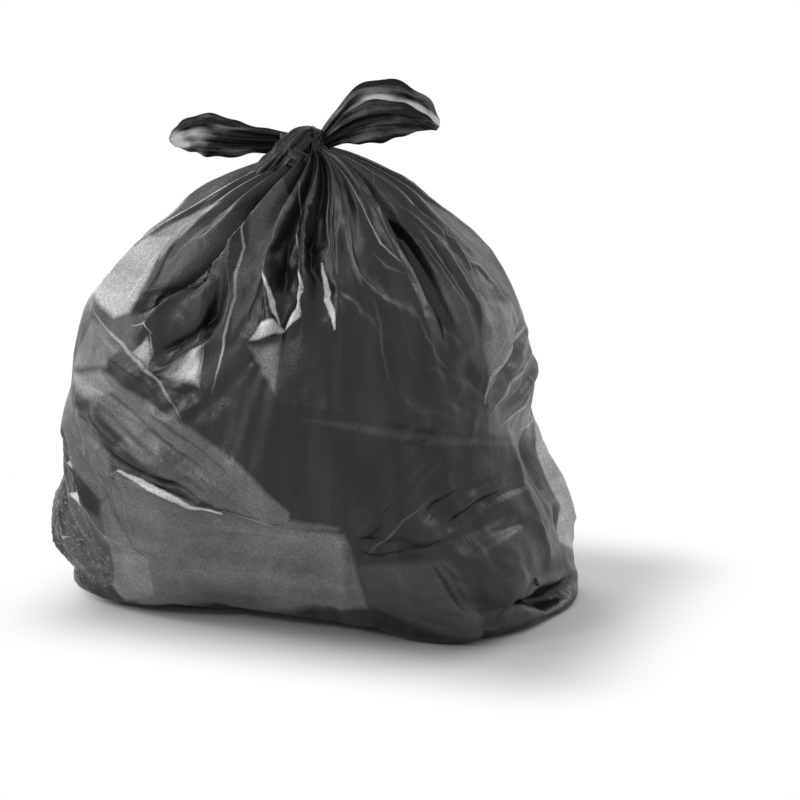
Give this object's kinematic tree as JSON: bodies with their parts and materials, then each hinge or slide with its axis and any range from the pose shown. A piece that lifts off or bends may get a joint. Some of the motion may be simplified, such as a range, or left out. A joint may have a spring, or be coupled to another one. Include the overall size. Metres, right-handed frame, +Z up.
{
  "type": "tied refuse sack",
  "caption": "Filled polythene refuse sack, its neck gathered and closed by a knot that leaves two ears of film.",
  "frame": {"origin": "middle of the flat patch that the sack stands on", "axes": "+Z up to the knot, +X to the right along the long side, -Y out of the front that the picture shows"},
  "size_m": [0.4896, 0.3807, 0.4833],
  "materials": {
    "film": "dark grey polythene film, satin to glossy, slightly see-through where it is one layer thick"
  },
  "bodies": {
    "root": {"tied_bag": "film"}
  },
  "joints": []
}
